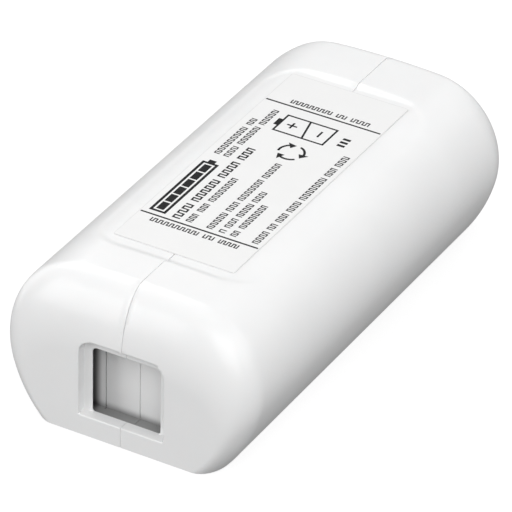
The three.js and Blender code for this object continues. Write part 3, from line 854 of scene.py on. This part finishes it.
def case_plastic():
    """White moulded plastic, with painted shade towards the bay's sides and floor and along its grooves."""
    made = Material("case_plastic", Coat_Weight=0.25, Coat_Roughness=0.12, IOR=1.5, Subsurface_Weight=0.08)
    made.shader.inputs["Subsurface Radius"].default_value = (0.0012, 0.001, 0.0009)
    made.colour(made.noise(9, 4), (0.845, 0.848, 0.85), (0.868, 0.87, 0.87))
    made.roughness(made.noise(2.5, 5), 0.3, 0.4)
    made.bump(made.noise(0.35, 2), 0.0035)
    # Painted shade: inside the bay the colour darkens towards the side walls, the floor and the two grooves.
    x, y, z = made.axes()
    from_middle = made.math("ABSOLUTE", x)
    past = BAY_PAINTED_SHADE_BOX
    in_width = made.near(x, 0, BAY["half_width"] + past["beside"])
    in_depth = made.between(y, BAY["back_y"] - past["forward"], BAY["back_y"] + past["behind"])
    in_height = made.between(z, BAY["floor_z"] - past["below"], BAY["roof_z"] + past["above"])
    in_bay = made.math("MULTIPLY", made.math("MULTIPLY", in_width, in_height), in_depth)
    side_start = BAY["half_width"] - BAY_PAINTED_SHADE["start"]
    side = made.ramp(from_middle, side_start, side_start - BAY_PAINTED_SHADE["side_fade"], BAY_PAINTED_SHADE["side"], 1)
    low_start = BAY["floor_z"] - BAY_PAINTED_SHADE["start"]
    low = made.ramp(z, low_start, low_start + BAY_PAINTED_SHADE["floor_fade"], BAY_PAINTED_SHADE["floor"], 1)
    at_wall = made.near(y, BAY["back_y"], BAY_GROOVE["depth"] + BAY_PAINTED_SHADE["groove_past"])
    at_groove = made.near(from_middle, BAY_GROOVE["x"], BAY_GROOVE["half_width"])
    groove = made.blend(made.math("MULTIPLY", at_wall, at_groove), 1, BAY_PAINTED_SHADE["groove"])
    painted_shade = made.math("MULTIPLY", made.math("MULTIPLY", side, low), groove)
    made.darken(made.blend(in_bay, 1, painted_shade))
    return made


def film_coating():
    """White film, with painted shade along its cut edge."""
    made = Material("film_coating", IOR=1.45, Coat_Weight=0.1, Coat_Roughness=0.3)
    made.colour(made.noise(6, 3), (0.815, 0.815, 0.812), (0.83, 0.83, 0.827))
    made.roughness(made.noise(1.2, 4), 0.42, 0.52)
    made.bump(made.noise(0.5, 3), 0.002)
    # Painted shade along the film's cut edge.
    x, y, _ = made.axes()
    across = made.math("ABSOLUTE", made.math("SUBTRACT", x, LABEL["centre_x"]))
    along = made.math("ABSOLUTE", made.math("SUBTRACT", y, LABEL["centre_y"]))
    at_side = made.near(across, LABEL["width"] / 2, FILM_EDGE)
    at_end = made.near(along, LABEL["length"] / 2, FILM_EDGE)
    made.darken(made.blend(made.math("MAXIMUM", at_side, at_end), 1, FILM_EDGE_PAINTED_SHADE))
    return made


def ink_finish(name, dark, light):
    made = Material(name, Specular_IOR_Level=0.12)
    made.colour(made.noise(0.25, 4), dark, light)
    made.roughness(made.noise(0.3, 3), 0.45, 0.6)
    made.bump(made.noise(0.12, 2), 0.002)
    return made


def simple_finish(name, size, dark, light, rough, stretch=(1, 1, 1), bump=0.004, **settings):
    """A finish whose colour, roughness and bump have noise of one stretch, each finer than the last."""
    made = Material(name, **settings)
    made.colour(made.noise(size, 4, stretch), dark, light)
    made.roughness(made.noise(size * 0.6, 4, stretch), *rough)
    made.bump(made.noise(size * 0.4, 3, stretch), bump)
    return made


def board_finish():
    """Green solder mask over tracks, which show as slightly lighter, raised lanes."""
    made = Material("solder_mask", IOR=1.5, Coat_Weight=0.4, Coat_Roughness=0.15)
    wave = made.nodes.new("ShaderNodeTexWave")
    wave.bands_direction = "Z"
    wave.inputs["Scale"].default_value = 260
    wave.inputs["Distortion"].default_value = 2.5
    wave.inputs["Detail Scale"].default_value = 120
    made.links.new(made.place, wave.inputs["Vector"])
    made.colour(wave.outputs["Fac"], (0.03, 0.2, 0.08), (0.07, 0.34, 0.15))
    made.roughness(made.noise(1.5), 0.3, 0.45)
    made.bump(wave.outputs["Fac"], 0.02)
    return made


def dress_inside():
    """Finishes for the CAD pieces inside the case."""
    nodes = frame["nodes"]
    rolled = (1, 0.08, 1)
    steel = simple_finish(
        "cell_steel", 0.8, (0.55, 0.56, 0.58), (0.74, 0.75, 0.77), (0.2, 0.38), rolled, Metallic=1,
    )
    nickel = simple_finish(
        "nickel_strip", 0.5, (0.6, 0.58, 0.52), (0.78, 0.76, 0.7), (0.22, 0.4), rolled, Metallic=1,
    )
    copper = simple_finish(
        "contact_copper", 0.5, (0.6, 0.35, 0.2), (0.83, 0.55, 0.36), (0.2, 0.36), rolled, Metallic=1,
    )
    sleeve = simple_finish(
        "shrunk_sleeve", 3, (0.03, 0.15, 0.3), (0.04, 0.2, 0.38), (0.25, 0.35), Coat_Weight=0.3,
    )
    nylon = simple_finish("black_nylon", 0.6, (0.018, 0.019, 0.02), (0.03, 0.031, 0.033), (0.5, 0.65))
    card = simple_finish(
        "pressed_card", 0.4, (0.36, 0.27, 0.15), (0.5, 0.4, 0.25), (0.8, 0.92), (1, 0.3, 1), 0.012,
    )
    epoxy = simple_finish("chip_epoxy", 0.2, (0.01, 0.01, 0.011), (0.02, 0.02, 0.022), (0.45, 0.6))
    fuse = simple_finish("fuse_polymer", 0.4, (0.03, 0.16, 0.05), (0.05, 0.23, 0.08), (0.35, 0.5))
    ceramic = simple_finish("capacitor_ceramic", 0.2, (0.4, 0.29, 0.16), (0.52, 0.39, 0.23), (0.45, 0.6))
    red = simple_finish("lead_red", 0.7, (0.38, 0.015, 0.012), (0.5, 0.03, 0.02), (0.4, 0.55))
    black = simple_finish("lead_black", 0.7, (0.012, 0.012, 0.013), (0.022, 0.022, 0.024), (0.4, 0.55))
    finishes = [
        (steel, ["cell_can", "cell_cap"]),
        (sleeve, ["cell_sleeve"]),
        (nylon, ["cell_gasket", "contact_carrier"]),
        (card, ["cell_washer", "bay_insulator", "board_shield"]),
        (nickel, ["tab_positive", "tab_negative"]),
        (copper, ["contact_positive", "contact_negative"]),
        (board_finish(), ["protection_board"]),
        (epoxy, ["protection_chip", "switch_transistor_1", "switch_transistor_2", "sense_resistor",
                 "thermistor", "resistor_1", "resistor_2"]),
        (fuse, ["resettable_fuse"]),
        (ceramic, ["capacitor_1", "capacitor_2"]),
        (red, ["lead_positive"]),
        (black, ["lead_negative"]),
    ]
    for finish, names in finishes:
        finish.dress(*(nodes[name] for name in names))


# ---- Camera, floor and light ---------------------------------------------------------------------

CAMERA = {"azimuth": 29.04, "elevation": 33.07, "roll": 1.37, "distance": 690, "lens": 344}
# The camera aims this far forward of the case's middle and below it, then this far right and up in view.
AIM_FORWARD = 0.4
AIM_BELOW = 0.1
AIM = (-0.85, -1.82)


def camera():
    """The camera at the view's angle, aimed a little beside the case's middle."""
    a, e, roll = (math.radians(CAMERA[key]) for key in ("azimuth", "elevation", "roll"))
    back = Vector((math.sin(a) * math.cos(e), -math.cos(a) * math.cos(e), math.sin(e)))
    level_right = Vector((math.cos(a), math.sin(a), 0))
    level_up = back.cross(level_right)
    right = level_right * math.cos(roll) + level_up * math.sin(roll)
    up = level_up * math.cos(roll) - level_right * math.sin(roll)
    aim = Vector((0, -AIM_FORWARD, HEIGHT / 2 - AIM_BELOW)) + right * AIM[0] + up * AIM[1]
    data = bpy.data.cameras.new("camera")
    data.lens = CAMERA["lens"]
    data.clip_start = 0.01
    obj = bpy.data.objects.new("camera", data)
    bpy.context.collection.objects.link(obj)
    axes = Matrix((right, up, back)).transposed().to_4x4()
    obj.matrix_world = Matrix.Translation((aim + back * CAMERA["distance"]) * MM) @ axes
    bpy.context.scene.camera = obj


def floor():
    """A pale table that glows a little, so that the case's shadow on it stays faint. It isn't seen by the
    light that falls on the case, which comes from the softboxes and the room alone."""
    half, under = 4000, -0.02
    corners = [(-half, -half, under), (half, -half, under), (half, half, under), (-half, half, under)]
    obj = mesh_object("floor", corners, [(0, 1, 2, 3)])
    obj.visible_diffuse = False
    obj.visible_glossy = False
    obj.visible_shadow = False
    made = Material("floor_paper", Roughness=0.9, Emission_Color=(1, 1, 1, 1), Emission_Strength=0.72)
    made.shader.inputs["Specular IOR Level"].default_value = 0.1
    made.colour(made.noise(40, 2), (0.34, 0.34, 0.34), (0.36, 0.36, 0.36))
    made.material.cycles.emission_sampling = "NONE"
    made.dress(obj)


SOFTBOX_DISTANCE = 700
SOFTBOX_SIZE = 450
SOFTBOXES = [
    # azimuth and elevation in degrees, power in watts
    (29, 33, 1.82),
    (-40, 20, 1.58),
    (75, 40, 1.04),
    (120, 40, 0.86),
    (168, 38, 0.36),
    (-120, 45, 1.38),
    (-102, 4, 0.66),
]
# The room's strength above and below. One turns into the other where a direction's z is within HORIZON of 0.
ROOM_ABOVE = 0.394
ROOM_BELOW = 0.235
HORIZON = 0.1


def softbox(azimuth, elevation, power):
    """A square area light that faces the case."""
    a, e = math.radians(azimuth), math.radians(elevation)
    away = Vector((math.sin(a) * math.cos(e), -math.cos(a) * math.cos(e), math.sin(e)))
    data = bpy.data.lights.new("softbox", "AREA")
    data.shape = "SQUARE"
    data.size = SOFTBOX_SIZE * MM
    data.energy = power
    obj = bpy.data.objects.new("softbox", data)
    bpy.context.collection.objects.link(obj)
    obj.location = away * SOFTBOX_DISTANCE * MM
    obj.rotation_euler = (-away).to_track_quat("-Z", "Y").to_euler()


def light():
    """Softboxes round the case, in a room that is darker below."""
    for azimuth, elevation, power in SOFTBOXES:
        softbox(azimuth, elevation, power)
    world = bpy.data.worlds.new("room")
    world.use_nodes = True
    nodes, links = world.node_tree.nodes, world.node_tree.links
    background = nodes["Background"]
    background.inputs["Color"].default_value = (1, 1, 1, 1)
    height = nodes.new("ShaderNodeSeparateXYZ")
    level = nodes.new("ShaderNodeMapRange")
    settings = {"From Min": -HORIZON, "From Max": HORIZON, "To Min": ROOM_BELOW, "To Max": ROOM_ABOVE}
    for socket, number in settings.items():
        level.inputs[socket].default_value = number
    links.new(nodes.new("ShaderNodeTexCoord").outputs["Generated"], height.inputs["Vector"])
    links.new(height.outputs["Z"], level.inputs["Value"])
    links.new(level.outputs["Result"], background.inputs["Strength"])
    bpy.context.scene.world = world
    bpy.context.scene.view_settings.view_transform = "Standard"


# ---- The whole -----------------------------------------------------------------------------------

camera()
floor()
light()

left = case_half("case_left", "case_half_left", -1)
right = case_half("case_right", "case_half_right", 1)
case_plastic().dress(left, right)
film_coating().dress(film())
ink_finish("black_ink", (0.01, 0.01, 0.011), (0.02, 0.02, 0.021)).dress(black_print())
ink_finish("fine_ink", (0.02, 0.02, 0.021), (0.035, 0.035, 0.036)).dress(fine_print())
foam = simple_finish("foam", 0.3, (0.03, 0.031, 0.033), (0.07, 0.072, 0.075), (0.85, 1), bump=0.06)
foam.dress(
    pillow("foam_end", "end_pad", 0.02, 0.04),
    pillow("foam_strip_1", "cell_pad_1", 0.02, 0.06),
    pillow("foam_strip_2", "cell_pad_2", 0.02, 0.06),
)
dress_inside()
